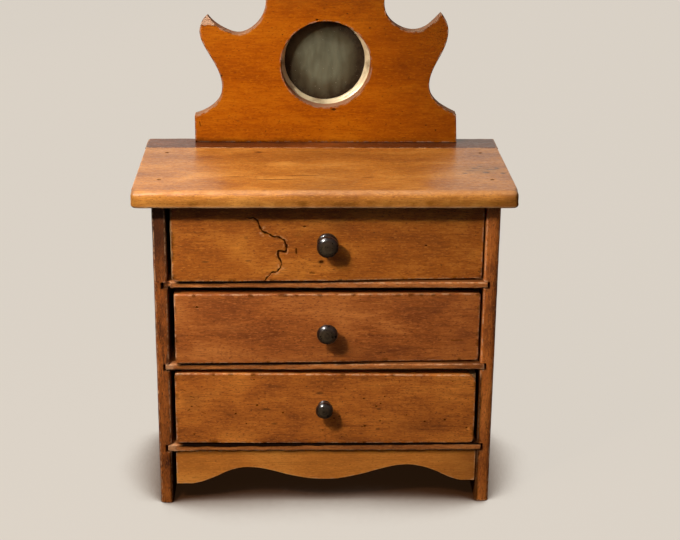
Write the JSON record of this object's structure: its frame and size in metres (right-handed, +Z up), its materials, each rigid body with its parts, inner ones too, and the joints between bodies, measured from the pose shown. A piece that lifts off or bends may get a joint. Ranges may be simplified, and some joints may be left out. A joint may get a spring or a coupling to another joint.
{
  "type": "miniature chest of drawers",
  "caption": "Miniature wooden chest of drawers with plain board sides, turned knobs, a scalloped apron and a scroll-sawn back panel holding a small round mirror.",
  "frame": {"origin": "on the ground, under the middle of the whole outline", "axes": "+X to the viewer's right, the drawers pull out towards -Y, +Z up"},
  "size_m": [0.23, 0.131, 0.329],
  "materials": {
    "case_wood": "old varnish over red-brown softwood, worn on the edges",
    "top_wood": "old glossy varnish, speckled along the nosing",
    "strip_wood": "darker varnish, dirty along the joint",
    "panel_wood": "amber varnish, glossy",
    "drawer_wood": "amber-brown varnish, satin, scratched",
    "lining_wood": "bare planed softwood, dusty",
    "raw_wood": "bare softwood, darkened with age",
    "knob_wood": "turned, stained near black and polished",
    "iron": "dark oxidised",
    "rim_metal": "cream-coloured tarnished tin, satin",
    "mirror_glass": "aged silvering, smudged",
    "backing_tin": "dull tinplate"
  },
  "bodies": {
    "carcass": {"left_side": "case_wood", "right_side": "case_wood", "top_board": "top_wood", "top_rear_strip": "strip_wood", "top_nails": "iron", "upper_divider": "case_wood", "lower_divider": "case_wood", "bottom_board": "case_wood", "apron": "case_wood", "apron_glue_blocks": "raw_wood", "back_board": "raw_wood", "back_nails": "iron", "mirror_panel": "panel_wood", "panel_dowels": "raw_wood", "mirror_rim": "rim_metal", "mirror_glass": "mirror_glass", "mirror_backing": "backing_tin", "mirror_tacks": "iron"},
    "upper_drawer": {"upper_drawer_face": "drawer_wood", "upper_drawer_left_side": "lining_wood", "upper_drawer_right_side": "lining_wood", "upper_drawer_back": "lining_wood", "upper_drawer_bottom": "lining_wood", "upper_drawer_knob": "knob_wood", "upper_drawer_brads": "iron"},
    "middle_drawer": {"middle_drawer_face": "drawer_wood", "middle_drawer_left_side": "lining_wood", "middle_drawer_right_side": "lining_wood", "middle_drawer_back": "lining_wood", "middle_drawer_bottom": "lining_wood", "middle_drawer_knob": "knob_wood", "middle_drawer_brads": "iron"},
    "lower_drawer": {"lower_drawer_face": "drawer_wood", "lower_drawer_left_side": "lining_wood", "lower_drawer_right_side": "lining_wood", "lower_drawer_back": "lining_wood", "lower_drawer_bottom": "lining_wood", "lower_drawer_knob": "knob_wood", "lower_drawer_brads": "iron"}
  },
  "joints": [
    {"name": "upper_drawer_slide", "type": "slide", "parent": "carcass", "child": "upper_drawer", "axis": [0, -1, 0], "range_m": [0, 0.085]},
    {"name": "middle_drawer_slide", "type": "slide", "parent": "carcass", "child": "middle_drawer", "axis": [0, -1, 0], "range_m": [0, 0.085]},
    {"name": "lower_drawer_slide", "type": "slide", "parent": "carcass", "child": "lower_drawer", "axis": [0, -1, 0], "range_m": [0, 0.085]}
  ]
}
